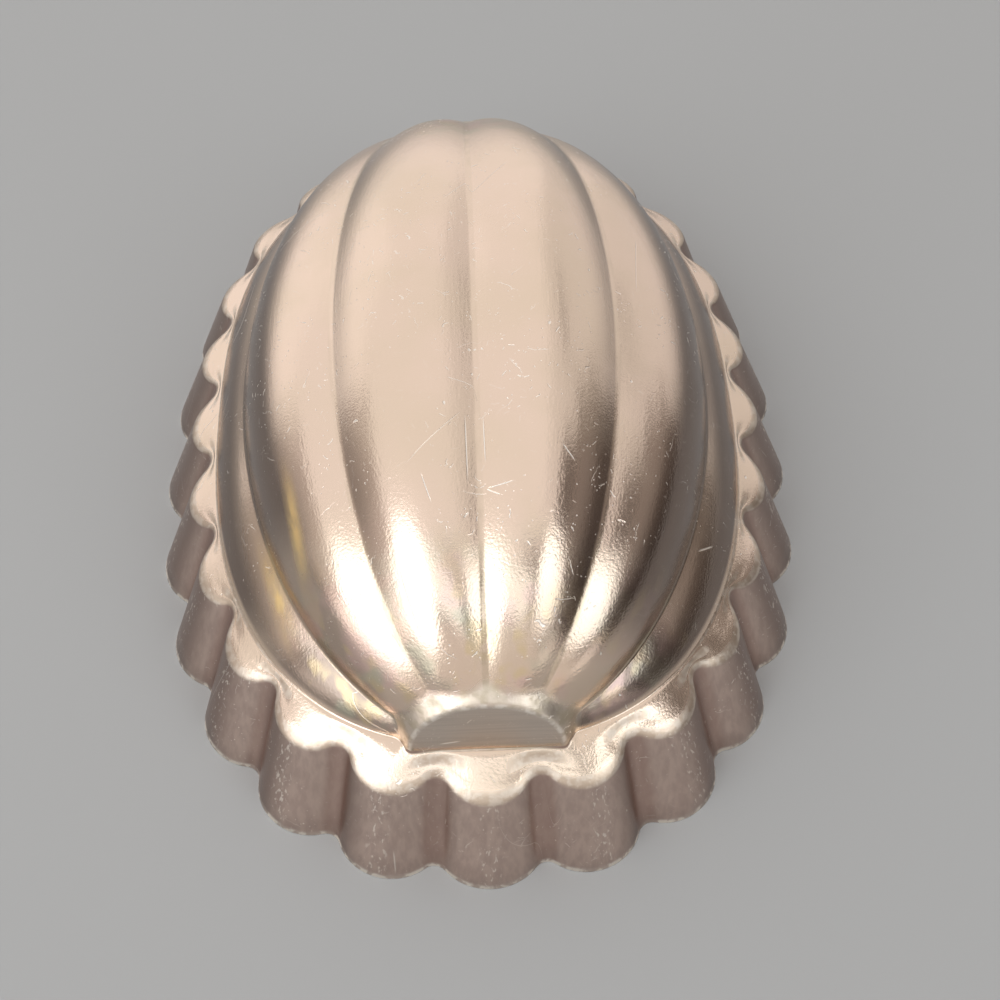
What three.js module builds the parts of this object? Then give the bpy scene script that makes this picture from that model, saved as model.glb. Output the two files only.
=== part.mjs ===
// Fluted jelly mould: a melon pressed from copper-toned aluminium sheet, standing upside down on its rim.
// Millimetres, +Z up. The origin is on the table under the middle of the mould, and its front end faces -Y.
// The sheet is built zone by zone. The zones of the dome share the press lines between them, point for point,
// and the dome, the ledge and the skirt meet flat to flat.

import * as THREE from 'three';
import { mergeVertices } from 'three/addons/utils/BufferGeometryUtils.js';

const SHEET_THICKNESS = 0.6;

// Melon dome. Its length is from one end face to the other, and its foot is where it meets the ledge.
const MELON_LENGTH = 104;
const MELON_FOOT_WIDTH = 71.4;
const MELON_FOOT_END_SETBACK = 0.8;
const MELON_FOOT_SQUARENESS = 2.45;

// Grooves between the lobes at mid-length. Heights are above the ledge.
const LOWER_GROOVE_INSET = 4.6;
const LOWER_GROOVE_HEIGHT = 7.3;
const UPPER_GROOVE_SPACING = 36.4;
const UPPER_GROOVE_HEIGHT = 22;
const CENTRE_GROOVE_HEIGHT = 25.8;

// Rise of each lobe's arc, as a share of the distance between the two grooves beside it.
const LOWER_LOBE_FULLNESS = 0.12;
const MIDDLE_LOBE_FULLNESS = 0.18;
const TOP_LOBE_FULLNESS = 0.17;

// Half-round bosses that the lobes run into at both ends. Each has a flat face that leans back as it rises,
// and a wall that spreads from the edge of the face towards the lobes, by a share of the distance behind it.
const END_FACE_WIDTH = 19.2;
const END_FACE_HEIGHT = 8.3;
const END_FACE_LEAN = 1.4;
const END_FACE_EDGE_REACH = 0.8;
const BOSS_WALL_SPREAD = 0.62;
const BOSS_WALL_LENGTH = 4;

// Ledge round the melon's foot, measured to the notches of its scalloped edge. Its height is that of the foot,
// and it slopes down from there, by a share of the distance from the foot.
const LEDGE_HEIGHT = 16;
const LEDGE_SIDE_SHELF = 1;
const LEDGE_END_SHELF = 2.85;
const LEDGE_SQUARENESS = 2.28;
const LEDGE_SLOPE = 0.43;

// Fluted skirt, flaring out from the ledge down to the rim.
const SKIRT_SIDE_FLARE = 5.8;
const SKIRT_END_FLARE = 5.75;
const FLUTE_COUNT = 24;
const FLUTE_DEPTH = 2.9;
const FLUTE_NOTCH_RADIUS = 1.8;

// Fineness of the faces.
const LOBE_STEPS_ACROSS = 6;
const LOBE_STEPS_ALONG = 24;
const END_FACE_EDGE_STEPS = 2;
const CREST_STEPS = 3;
const NOTCH_STEPS = 2;
const OVAL_DIVISIONS = 2000;
const BISECTION_STEPS = 40;
const CORNER_TOLERANCE = 1e-4;

const aluminium = new THREE.MeshStandardMaterial({ color: 0xd9b79c, roughness: 0.22, metalness: 1 });

// Press lines across the melon at mid-length, from the right foot over the top to the left foot.
const footHalfWidth = MELON_FOOT_WIDTH / 2;
const rightLines = [
  { x: footHalfWidth, z: 0, isFoot: true },
  { x: footHalfWidth - LOWER_GROOVE_INSET, z: LOWER_GROOVE_HEIGHT },
  { x: UPPER_GROOVE_SPACING / 2, z: UPPER_GROOVE_HEIGHT },
];
const centreLine = { x: 0, z: CENTRE_GROOVE_HEIGHT };
const leftLines = rightLines.map((line) => ({ ...line, x: -line.x })).reverse();
const pressLines = [...rightLines, centreLine, ...leftLines];

const lobes = [
  { name: 'lobe_right_lower', fullness: LOWER_LOBE_FULLNESS },
  { name: 'lobe_right_middle', fullness: MIDDLE_LOBE_FULLNESS },
  { name: 'lobe_right_top', fullness: TOP_LOBE_FULLNESS },
  { name: 'lobe_left_top', fullness: TOP_LOBE_FULLNESS },
  { name: 'lobe_left_middle', fullness: MIDDLE_LOBE_FULLNESS },
  { name: 'lobe_left_lower', fullness: LOWER_LOBE_FULLNESS },
];

// Point of a press line at a station along the melon. Inset is 0 outside the sheet and its thickness inside.
function pressLinePoint(line, station, inset) {
  const setback = line.isFoot ? MELON_FOOT_END_SETBACK : 0;
  const power = line.isFoot ? MELON_FOOT_SQUARENESS : 2;
  const share = Math.min(Math.abs(station) / (MELON_LENGTH / 2 - setback - inset), 1);
  const taper = (1 - share ** power) ** (1 / power);
  const reach = Math.hypot(line.x, line.z);
  const scale = taper * (1 - inset / reach);
  return new THREE.Vector3(line.x * scale, station, line.z * scale);
}

// Point of a lobe: an arc from one press line to the next, across the melon.
function lobePoint(index, across, station, inset) {
  const start = pressLinePoint(pressLines[index], station, inset);
  const end = pressLinePoint(pressLines[index + 1], station, inset);
  const chord = end.clone().sub(start);
  const outward = new THREE.Vector3(chord.z, 0, -chord.x);
  const rise = 4 * lobes[index].fullness * across * (1 - across);
  return start.addScaledVector(chord, across).addScaledVector(outward, rise);
}

// Corner between the wall and the face of a boss, in the direction of a point. The inset keeps to the sheet.
function bossCorner(point, inset) {
  const wallAngle = Math.atan(BOSS_WALL_SPREAD);
  const mitre = inset * Math.tan(Math.PI / 4 - wallAngle / 2);
  const turn = Math.atan2(point.z, point.x);
  const x = (END_FACE_WIDTH / 2 - mitre) * Math.cos(turn);
  const z = (END_FACE_HEIGHT - mitre) * Math.sin(turn);
  const station = MELON_LENGTH / 2 - inset - (z * END_FACE_LEAN) / END_FACE_HEIGHT;
  return new THREE.Vector3(x, Math.sign(point.y) * station, z);
}

// Whether a point of a lobe is clear of the wall of the boss at its end.
function clearOfBoss(point, inset) {
  const corner = bossCorner(point, inset);
  const behindFace = Math.min(Math.abs(corner.y) - Math.abs(point.y), BOSS_WALL_LENGTH);
  const wallReach = Math.hypot(corner.x, corner.z) + BOSS_WALL_SPREAD * behindFace;
  return Math.hypot(point.x, point.z) > wallReach;
}

// Distance from mid-length at which a line along a lobe runs into the wall of a boss, found by halving.
function rootStation(index, across, inset) {
  let near = 0;
  let far = MELON_LENGTH / 2 - inset;
  for (let step = 0; step < BISECTION_STEPS; step += 1) {
    const middle = (near + far) / 2;
    if (clearOfBoss(lobePoint(index, across, middle, inset), inset)) {
      near = middle;
    } else {
      far = middle;
    }
  }
  return near;
}

// Lines of points along a lobe, from the stem boss to the rear boss.
function lobeGrid(index, inset) {
  const halfLength = MELON_LENGTH / 2 - inset;
  const grid = [];
  for (let i = 0; i <= LOBE_STEPS_ACROSS; i += 1) {
    const across = i / LOBE_STEPS_ACROSS;
    const last = Math.asin(rootStation(index, across, inset) / halfLength);
    const line = [];
    for (let j = 0; j <= LOBE_STEPS_ALONG; j += 1) {
      const angle = last * ((2 * j) / LOBE_STEPS_ALONG - 1);
      line.push(lobePoint(index, across, halfLength * Math.sin(angle), inset));
    }
    grid.push(line);
  }
  return grid;
}

// Point at a distance from one point towards another.
function pointTowards(from, to, distance) {
  return to.clone().sub(from).setLength(distance).add(from);
}

// Lines of points from the lobes down the wall of a boss and over the edge of its face to the foot.
function bossGrid(roots, inset) {
  const foot = new THREE.Vector3(0, Math.sign(roots[0].y) * (MELON_LENGTH / 2 - inset), 0);
  const corners = roots.map((root) => bossCorner(root, inset));
  const shortestWall = Math.min(...corners.map((corner, i) => corner.distanceTo(roots[i])));
  const fullReach = Math.max(END_FACE_EDGE_REACH - inset, END_FACE_EDGE_REACH / 4);
  const reach = Math.min(fullReach, shortestWall / 2);
  return corners.map((corner, i) => {
    const wallEnd = pointTowards(corner, roots[i], reach);
    const faceStart = pointTowards(corner, foot, reach);
    const edge = new THREE.QuadraticBezierCurve3(wallEnd, corner, faceStart);
    return [roots[i], ...edge.getPoints(END_FACE_EDGE_STEPS), foot.clone()];
  });
}

// Closed geometry from corner points and triangles, with shared corners merged and empty triangles left out.
function closedGeometry(points, triangles) {
  const geometry = new THREE.BufferGeometry().setFromPoints(points);
  geometry.setIndex(triangles.flat());
  const merged = mergeVertices(geometry, CORNER_TOLERANCE);
  const corners = merged.getIndex().array;
  const kept = [];
  for (let t = 0; t < corners.length; t += 3) {
    const [a, b, c] = corners.slice(t, t + 3);
    if (a !== b && b !== c && c !== a) {
      kept.push(a, b, c);
    }
  }
  merged.setIndex(kept);
  merged.computeVertexNormals();
  return merged;
}

// Curved piece of sheet between two grids of points: its outer face, its inner face and its four edges.
// Each edge is split the same way from both sides, so that neighbouring pieces meet face to face.
function sheetGeometry(outer, inner) {
  const rows = outer.length;
  const columns = outer[0].length;
  const points = [...outer.flat(), ...inner.flat()];
  const outerAt = (i, j) => i * columns + j;
  const innerAt = (i, j) => rows * columns + i * columns + j;
  const triangles = [];
  for (let i = 0; i < rows - 1; i += 1) {
    for (let j = 0; j < columns - 1; j += 1) {
      triangles.push([outerAt(i, j), outerAt(i, j + 1), outerAt(i + 1, j + 1)]);
      triangles.push([outerAt(i, j), outerAt(i + 1, j + 1), outerAt(i + 1, j)]);
      triangles.push([innerAt(i, j), innerAt(i + 1, j + 1), innerAt(i, j + 1)]);
      triangles.push([innerAt(i, j), innerAt(i + 1, j), innerAt(i + 1, j + 1)]);
    }
  }
  const lastRow = rows - 1;
  for (let j = 0; j < columns - 1; j += 1) {
    triangles.push([outerAt(0, j + 1), outerAt(0, j), innerAt(0, j)]);
    triangles.push([outerAt(0, j + 1), innerAt(0, j), innerAt(0, j + 1)]);
    triangles.push([outerAt(lastRow, j), outerAt(lastRow, j + 1), innerAt(lastRow, j)]);
    triangles.push([outerAt(lastRow, j + 1), innerAt(lastRow, j + 1), innerAt(lastRow, j)]);
  }
  const lastColumn = columns - 1;
  for (let i = 0; i < rows - 1; i += 1) {
    triangles.push([outerAt(i, 0), outerAt(i + 1, 0), innerAt(i, 0)]);
    triangles.push([outerAt(i + 1, 0), innerAt(i + 1, 0), innerAt(i, 0)]);
    triangles.push([outerAt(i + 1, lastColumn), outerAt(i, lastColumn), innerAt(i, lastColumn)]);
    triangles.push([outerAt(i + 1, lastColumn), innerAt(i, lastColumn), innerAt(i + 1, lastColumn)]);
  }
  return closedGeometry(points, triangles);
}

// Triangles between two lines of as many points that run round the mould, the outer or lower line first.
function stripTriangles(first, second, count) {
  const triangles = [];
  for (let i = 0; i < count; i += 1) {
    const following = (i + 1) % count;
    triangles.push([first + i, first + following, second + following]);
    triangles.push([first + i, second + following, second + i]);
  }
  return triangles;
}

// Closed ring of sheet, from lines of points that run once round the mould.
function ringGeometry(rings) {
  const count = rings[0].length;
  const triangles = rings.flatMap((ring, r) => {
    const next = (r + 1) % rings.length;
    return stripTriangles(r * count, next * count, count);
  });
  return closedGeometry(rings.flat(), triangles);
}

// Squarish oval from the middle of the front end, by way of the right side.
class Oval extends THREE.Curve {
  constructor(halfWidth, halfLength) {
    super();
    this.halfWidth = halfWidth;
    this.halfLength = halfLength;
    this.arcLengthDivisions = OVAL_DIVISIONS;
  }

  getPoint(share, target = new THREE.Vector3()) {
    const side = Math.sin(2 * Math.PI * share);
    const end = -Math.cos(2 * Math.PI * share);
    const power = 2 / LEDGE_SQUARENESS;
    const x = this.halfWidth * Math.sign(side) * Math.abs(side) ** power;
    const y = this.halfLength * Math.sign(end) * Math.abs(end) ** power;
    return target.set(x, y, 0);
  }
}

// One flute as seen from above, from notch to notch: a crest arc between two notch arcs that run into it.
// Along is measured from the crest in flute widths, and rise outwards from the notches.
function flutePoints(pitch, inset) {
  const flank = 2 * Math.atan(FLUTE_DEPTH / (pitch / 2));
  const crestRadius = pitch / 2 / Math.sin(flank) - FLUTE_NOTCH_RADIUS;
  const notchArc = FLUTE_NOTCH_RADIUS + inset;
  const crestArc = crestRadius - inset;
  const points = [];
  for (let step = 0; step <= NOTCH_STEPS; step += 1) {
    const angle = (flank * step) / NOTCH_STEPS;
    const rise = FLUTE_NOTCH_RADIUS - notchArc * Math.cos(angle);
    points.push({ along: (notchArc * Math.sin(angle)) / pitch - 0.5, rise });
  }
  for (let step = 1; step <= CREST_STEPS; step += 1) {
    const angle = flank * (1 - step / CREST_STEPS);
    const rise = FLUTE_DEPTH - crestRadius + crestArc * Math.cos(angle);
    points.push({ along: (-crestArc * Math.sin(angle)) / pitch, rise });
  }
  const farSide = points.slice(1, -1).reverse().map(({ along, rise }) => ({ along: -along, rise }));
  return [...points, ...farSide];
}

// Fluted line round the mould. The half sizes are those of the oval through its notches.
function flutedRing(halfWidth, halfLength, height, inset) {
  const oval = new Oval(halfWidth, halfLength);
  const flute = flutePoints(oval.getLength() / FLUTE_COUNT, inset);
  const ring = [];
  for (let k = 0; k < FLUTE_COUNT; k += 1) {
    for (const { along, rise } of flute) {
      const share = (k + along + FLUTE_COUNT) / FLUTE_COUNT;
      const point = oval.getPointAt(share % 1);
      const tangent = oval.getTangentAt(share % 1);
      ring.push(new THREE.Vector3(point.x + rise * tangent.y, point.y - rise * tangent.x, height));
    }
  }
  return ring;
}

function addPiece(parent, name, geometry) {
  const mesh = new THREE.Mesh(geometry, aluminium);
  mesh.name = name;
  parent.add(mesh);
}

const mould = new THREE.Group();
mould.name = 'fluted_jelly_mould';

// Melon dome: six lobes between the stem boss and the rear boss, built up from the height of the ledge.
const dome = new THREE.Group();
dome.position.z = LEDGE_HEIGHT;
mould.add(dome);

const outerLobes = lobes.map((lobe, index) => lobeGrid(index, 0));
const innerLobes = lobes.map((lobe, index) => lobeGrid(index, SHEET_THICKNESS));
lobes.forEach((lobe, index) => {
  addPiece(dome, lobe.name, sheetGeometry(outerLobes[index], innerLobes[index]));
});

// Ends of all the lobes' lines at one end of the melon, from the right foot to the left foot.
function lobeEnds(grids, column) {
  return grids.flatMap((grid, index) => {
    const lines = index === 0 ? grid : grid.slice(1);
    return lines.map((line) => line[column]);
  });
}

const stemOuter = bossGrid(lobeEnds(outerLobes, 0), 0).map((line) => line.reverse());
const stemInner = bossGrid(lobeEnds(innerLobes, 0), SHEET_THICKNESS).map((line) => line.reverse());
addPiece(dome, 'stem_boss', sheetGeometry(stemOuter, stemInner));

const rearOuter = bossGrid(lobeEnds(outerLobes, LOBE_STEPS_ALONG), 0);
const rearInner = bossGrid(lobeEnds(innerLobes, LOBE_STEPS_ALONG), SHEET_THICKNESS);
addPiece(dome, 'rear_boss', sheetGeometry(rearOuter, rearInner));

// Foot of the dome, once round it from the middle of the front end, by way of the right side.
function footLine(stem, grids, rear) {
  const lastLobe = grids[grids.length - 1];
  return [
    ...stem[0],
    ...grids[0][0].slice(1, -1),
    ...rear[0],
    ...rear[rear.length - 1].slice(0, -1).reverse(),
    ...lastLobe[lastLobe.length - 1].slice(1, -1).reverse(),
    ...stem[stem.length - 1].slice(1).reverse(),
  ];
}

const outerFoot = footLine(stemOuter, outerLobes, rearOuter);
const innerFoot = footLine(stemInner, innerLobes, rearInner);

function distanceToFoot(point) {
  const nearest = new THREE.Vector3();
  const distances = outerFoot.map((corner, i) => {
    const side = new THREE.Line3(corner, outerFoot[(i + 1) % outerFoot.length]);
    return side.closestPointToPoint(point, true, nearest).distanceTo(point);
  });
  return Math.min(...distances);
}

// Scalloped line of the ledge, as far below the dome's foot as the slope takes it.
const ledgeHalfWidth = MELON_FOOT_WIDTH / 2 + LEDGE_SIDE_SHELF;
const ledgeHalfLength = MELON_LENGTH / 2 + LEDGE_END_SHELF;
function ledgeLine(inset) {
  const line = flutedRing(ledgeHalfWidth, ledgeHalfLength, 0, inset);
  return line.map((point) => point.setZ(-LEDGE_SLOPE * distanceToFoot(point)));
}

// Sheet of the ledge: level under the wall of the dome, and sloping from its foot to the scalloped edge.
function ledgeGeometry(edge, edgeInside) {
  const seenFromAbove = (point) => new THREE.Vector2(point.x, point.y);
  const contour = edgeInside.map(seenFromAbove);
  const hole = outerFoot.map(seenFromAbove);
  const insideStart = edge.length;
  const footStart = insideStart + edgeInside.length;
  const wallStart = footStart + outerFoot.length;
  const slope = THREE.ShapeUtils.triangulateShape(contour, [hole]);
  const top = [
    ...stripTriangles(0, insideStart, edge.length),
    ...slope.map((corners) => corners.map((corner) => insideStart + corner)),
    ...stripTriangles(footStart, wallStart, outerFoot.length),
  ];
  const upper = [...edge, ...edgeInside, ...outerFoot, ...innerFoot];
  const lower = upper.map((point) => point.clone().setZ(point.z - SHEET_THICKNESS));
  const bottom = top.map((corners) => corners.map((corner) => upper.length + corner).reverse());
  const sides = [
    ...stripTriangles(upper.length, 0, edge.length),
    ...stripTriangles(wallStart, upper.length + wallStart, innerFoot.length),
  ];
  return closedGeometry([...upper, ...lower], [...top, ...bottom, ...sides]);
}

const ledgeEdge = ledgeLine(0);
const ledgeEdgeInside = ledgeLine(SHEET_THICKNESS);
addPiece(dome, 'ledge', ledgeGeometry(ledgeEdge, ledgeEdgeInside));

// Skirt: from the rim on the table up to the underside of the ledge.
const rimHalfWidth = ledgeHalfWidth + SKIRT_SIDE_FLARE;
const rimHalfLength = ledgeHalfLength + SKIRT_END_FLARE;
const skirtTop = LEDGE_HEIGHT - SHEET_THICKNESS;
const raisedToSkirtTop = (point) => point.clone().setZ(point.z + skirtTop);
const skirt = ringGeometry([
  flutedRing(rimHalfWidth, rimHalfLength, 0, 0),
  ledgeEdge.map(raisedToSkirtTop),
  ledgeEdgeInside.map(raisedToSkirtTop),
  flutedRing(rimHalfWidth, rimHalfLength, 0, SHEET_THICKNESS),
]);
addPiece(mould, 'skirt', skirt);

export default mould;
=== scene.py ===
"""Looks of the fluted jelly mould: one pressed sheet of copper-toned aluminium, on its rim.

Metres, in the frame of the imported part. The sheet is one continuous shell: the melon dome with its
six lobes and the boss at each end, the scalloped ledge round its foot, and the fluted skirt down to
the cut rim. The lengths that shape the sheet are in millimetres.
"""

import math

import bpy
import numpy as np
from mathutils import Matrix, Vector
from mathutils.geometry import delaunay_2d_cdt


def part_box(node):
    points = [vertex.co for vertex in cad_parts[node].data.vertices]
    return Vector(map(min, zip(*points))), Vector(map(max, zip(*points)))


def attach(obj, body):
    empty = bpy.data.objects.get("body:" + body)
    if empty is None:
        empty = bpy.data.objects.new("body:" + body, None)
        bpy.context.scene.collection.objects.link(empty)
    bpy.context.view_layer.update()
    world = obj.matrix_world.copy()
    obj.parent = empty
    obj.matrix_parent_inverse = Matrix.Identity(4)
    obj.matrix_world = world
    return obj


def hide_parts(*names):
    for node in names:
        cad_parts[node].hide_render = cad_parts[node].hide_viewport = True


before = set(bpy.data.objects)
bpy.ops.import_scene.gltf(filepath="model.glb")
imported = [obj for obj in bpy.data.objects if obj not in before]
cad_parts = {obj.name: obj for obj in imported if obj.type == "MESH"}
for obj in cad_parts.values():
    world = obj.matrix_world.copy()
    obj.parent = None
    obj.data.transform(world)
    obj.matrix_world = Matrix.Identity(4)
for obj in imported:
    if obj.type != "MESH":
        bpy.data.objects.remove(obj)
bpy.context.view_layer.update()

MILLIMETRE = 0.001

# Sheet, as in the solids, apart from flatter lowest lobes, a ledge that is steeper at its ends, and
# dips of the ledge's edge at the notches. Fullness is the rise of each lobe's arc, from right to
# left, as a share of its width.
SHEET_THICKNESS = 0.6
FOOT_END_SETBACK = 0.8
FOOT_SQUARENESS = 2.45
LOWER_GROOVE = (31.1, 7.3)
UPPER_GROOVE = (18.2, 22.0)
CENTRE_GROOVE_HEIGHT = 25.8
FOOT_HALF_WIDTH = 35.7
LOBE_FULLNESS = (0.07, 0.18, 0.1695, 0.1695, 0.18, 0.07)
END_FACE_HALF_WIDTH = 9.6
END_FACE_HEIGHT = 8.3
END_FACE_LEAN = 1.4
BOSS_WALL_SPREAD = 0.62
BOSS_WALL_LENGTH = 4.0
LEDGE_SQUARENESS = 2.28
LEDGE_SIDE_SLOPE = 0.45
LEDGE_END_SLOPE = 0.51
NOTCH_DIP = 0.42
NOTCH_DIP_SHARE = 0.18
SLOPE_OVAL_MARGIN = 0.4
SLOPE_OVAL_SQUARENESS = 2.35
FLUTE_COUNT = 24
FLUTE_DEPTH = 2.9
FLUTE_NOTCH_RADIUS = 1.8
FLUTE_PITCH_GUIDE = 13.0

# Rounding that the press leaves: its reach to each side of a bend, and its share of the room there.
GROOVE_REACH = 0.45
BOSS_ROOT_REACH = 0.8
END_FACE_EDGE_REACH = 0.55
FOOT_REACH = 0.25
LEDGE_ROLL_REACH = 1.5
SKIRT_ROLL_REACH = 1.0
LIP_ROUNDING = 0.14
LARGEST_SHARE = 0.3
FOOT_ROOM_SHARE = 0.28
ROLL_ROOM_SHARE = 0.4
LEDGE_FLAT_SHARE = 0.04
POCKET_SHARE = 0.5
ROOT_SHARE = 0.45
EDGE_SHARE = 0.45
SMALLEST_FILLET = 0.05

# Fineness of the shell.
LOBE_COLUMNS = (9, 20, 20, 20, 20, 9)
GROOVE_COLUMNS = 6
STATIONS = 90
ROOT_ROWS = 5
WALL_ROWS = 3
EDGE_ROWS = 6
FACE_RINGS = (0.97, 0.8, 0.55, 0.3, 0.1)
FACE_MIDDLE_SHARE = 0.4
FACE_FOOT_POINTS = 40
FILLET_ROWS = 5
ROLL_ROWS = 7
NOTCH_STEPS = 7
CREST_STEPS = 10
SKIRT_ROWS = 4
LEDGE_SHARES = (0.2, 0.4, 0.6, 0.8)
LIP_ROWS = 3
OVAL_SAMPLES = 40000
SLOPE_OVAL_STEP = 20
POCKET_SPREAD = 3
HALVINGS = 40
TANGENT_STEPS = 2000
PROBE_ANGLE = 1e-3
LEAST_TURN = 1e-3
LEAST_CHORD = 1e-9
LEAST_RISE = 1e-12
JOIN_DISTANCE = 1e-7


def box_mm(node):
    """Lowest and highest corner of a node of the solids, in millimetres."""
    low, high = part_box(node)
    return np.array(low) / MILLIMETRE, np.array(high) / MILLIMETRE


half_length = -box_mm("stem_boss")[0][1]
ledge_high = box_mm("ledge")[1]
skirt_high = box_mm("skirt")[1]
ledge_height = ledge_high[2]
ledge_half_sizes = ledge_high[:2] - FLUTE_DEPTH
rim_half_sizes = skirt_high[:2] - FLUTE_DEPTH

press_lines = np.array(
    [
        (FOOT_HALF_WIDTH, 0),
        LOWER_GROOVE,
        UPPER_GROOVE,
        (0, CENTRE_GROOVE_HEIGHT),
        (-UPPER_GROOVE[0], UPPER_GROOVE[1]),
        (-LOWER_GROOVE[0], LOWER_GROOVE[1]),
        (-FOOT_HALF_WIDTH, 0),
    ]
)
LAST_LINE = len(press_lines) - 1


# Melon dome, with heights above the ledge.


def press_point(line, y):
    """Point (x, z) of a press line at station y."""
    is_foot = line in (0, LAST_LINE)
    power = FOOT_SQUARENESS if is_foot else 2.0
    reach = half_length - (FOOT_END_SETBACK if is_foot else 0.0)
    share = min(abs(y) / reach, 1.0)
    return press_lines[line] * (1 - share**power) ** (1 / power)


def lobe_point(lobe, across, y):
    """Point (x, z) of a lobe, and the direction of its arc there."""
    start = press_point(lobe, y)
    chord = press_point(lobe + 1, y) - start
    outward = np.array([chord[1], -chord[0]])
    rise = 4 * LOBE_FULLNESS[lobe]
    point = start + chord * across + outward * rise * across * (1 - across)
    return point, chord + outward * rise * (1 - 2 * across)


def crossing(point, direction, other_point, other_direction):
    """Where two lines in a plane cross."""
    gap = other_point - point
    side = direction[0] * other_direction[1] - direction[1] * other_direction[0]
    along = (gap[0] * other_direction[1] - gap[1] * other_direction[0]) / side
    return point + direction * along


def bend(start, corner, end, share):
    """Point of a rounded bend that leaves start towards the corner and arrives at end from it."""
    return (1 - share) ** 2 * start + 2 * share * (1 - share) * corner + share**2 * end


def rounding_share(lobe, y, reach):
    """Share of a lobe's width that a rounding beside it takes."""
    chord = np.linalg.norm(press_point(lobe + 1, y) - press_point(lobe, y))
    return min(reach / max(chord, LEAST_CHORD), LARGEST_SHARE)


def lobe_limits(lobe, y):
    """Part of a lobe's arc that the roundings beside it leave."""
    first = FOOT_REACH if lobe == 0 else GROOVE_REACH
    last = FOOT_REACH if lobe == LAST_LINE - 1 else GROOVE_REACH
    return rounding_share(lobe, y, first), 1 - rounding_share(lobe, y, last)


def section_point(column, y):
    """Point (x, z) of a lengthwise line of the dome at station y."""
    kind, index, share = column
    if kind == "lobe":
        first, last = lobe_limits(index, y)
        return lobe_point(index, first + (last - first) * share, y)[0]
    start, start_way = lobe_point(index - 1, lobe_limits(index - 1, y)[1], y)
    end, end_way = lobe_point(index, lobe_limits(index, y)[0], y)
    return bend(start, crossing(start, start_way, end, end_way), end, share)


def dome_columns():
    """Lengthwise lines of the dome, from right to left: kind, number and share across it."""
    columns = []
    for lobe, steps in enumerate(LOBE_COLUMNS):
        if lobe > 0:
            columns += [("groove", lobe, i / GROOVE_COLUMNS) for i in range(1, GROOVE_COLUMNS)]
        columns += [("lobe", lobe, i / steps) for i in range(steps + 1)]
    return columns


def face_point(x, z):
    """Point on the flat face of the stem boss."""
    return np.array([x, -half_length + z * END_FACE_LEAN / END_FACE_HEIGHT, z])


def face_corner(x, z):
    """Corner between the wall of the stem boss and its face, towards a point (x, z)."""
    turn = math.atan2(z, x)
    return face_point(END_FACE_HALF_WIDTH * math.cos(turn), END_FACE_HEIGHT * math.sin(turn))


def clear_of_boss(column, y):
    """Whether a lengthwise line is still outside the wall of the stem boss at station y."""
    x, z = section_point(column, y)
    corner = face_corner(x, z)
    behind_face = min(y - corner[1], BOSS_WALL_LENGTH)
    return math.hypot(x, z) > math.hypot(corner[0], corner[2]) + BOSS_WALL_SPREAD * behind_face


def root_angle(column):
    """Angle of the station where a lengthwise line runs into the wall of the stem boss."""
    near, far = 0.0, -math.pi / 2
    for _ in range(HALVINGS):
        middle = (near + far) / 2
        if clear_of_boss(column, half_length * math.sin(middle)):
            near = middle
        else:
            far = middle
    return near


def towards(start, end, distance):
    return start + (end - start) * distance / np.linalg.norm(end - start)


def dome_line(column):
    """Points of a lengthwise line, from the edge of the rear face to the edge of the front face."""

    def on_lobe(angle):
        y = half_length * math.sin(angle)
        x, z = section_point(column, y)
        return np.array([x, y, z])

    last = root_angle(column)
    root = on_lobe(last)
    corner = face_corner(root[0], root[2])
    wall = np.linalg.norm(corner - root)
    root_reach = min(BOSS_ROOT_REACH, ROOT_SHARE * wall)
    edge_reach = min(END_FACE_EDGE_REACH, EDGE_SHARE * wall)
    speed = np.linalg.norm(on_lobe(last + PROBE_ANGLE) - root) / PROBE_ANGLE
    front = last + root_reach / speed
    half = [on_lobe(front * i / STATIONS) for i in range(STATIONS + 1)]
    wall_start = towards(root, corner, root_reach)
    wall_end = towards(corner, root, edge_reach)
    face_start = towards(corner, face_point(0, 0), edge_reach)
    lobe_end = half[STATIONS]
    for i in range(1, ROOT_ROWS + 1):
        half.append(bend(lobe_end, root, wall_start, i / ROOT_ROWS))
    for i in range(1, WALL_ROWS + 1):
        half.append(wall_start + (wall_end - wall_start) * i / WALL_ROWS)
    for i in range(1, EDGE_ROWS + 1):
        half.append(bend(wall_end, corner, face_start, i / EDGE_ROWS))
    half = np.array(half)
    rear_half = half[:0:-1] * np.array([1, -1, 1])
    return np.concatenate([rear_half, half])


# Fluted rings, as seen from above.


class Oval:
    """Squarish oval from the middle of the front end, by way of the right side."""

    def __init__(self, half_sizes, squareness):
        angle = np.linspace(0, 2 * math.pi, OVAL_SAMPLES + 1)
        power = 2 / squareness
        side, end = np.sin(angle), -np.cos(angle)
        self.x = half_sizes[0] * np.sign(side) * np.abs(side) ** power
        self.y = half_sizes[1] * np.sign(end) * np.abs(end) ** power
        steps = np.hypot(np.diff(self.x), np.diff(self.y))
        self.distance = np.concatenate([[0], np.cumsum(steps)])
        self.length = self.distance[-1]

    def point(self, distance):
        where = np.mod(distance, self.length)
        parts = [np.interp(where, self.distance, values) for values in (self.x, self.y)]
        return np.stack(parts, -1)

    def outward(self, distance):
        step = self.length / TANGENT_STEPS
        way = self.point(distance + step) - self.point(distance - step)
        way /= np.linalg.norm(way, axis=-1, keepdims=True)
        return np.stack([way[:, 1], -way[:, 0]], -1)


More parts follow.
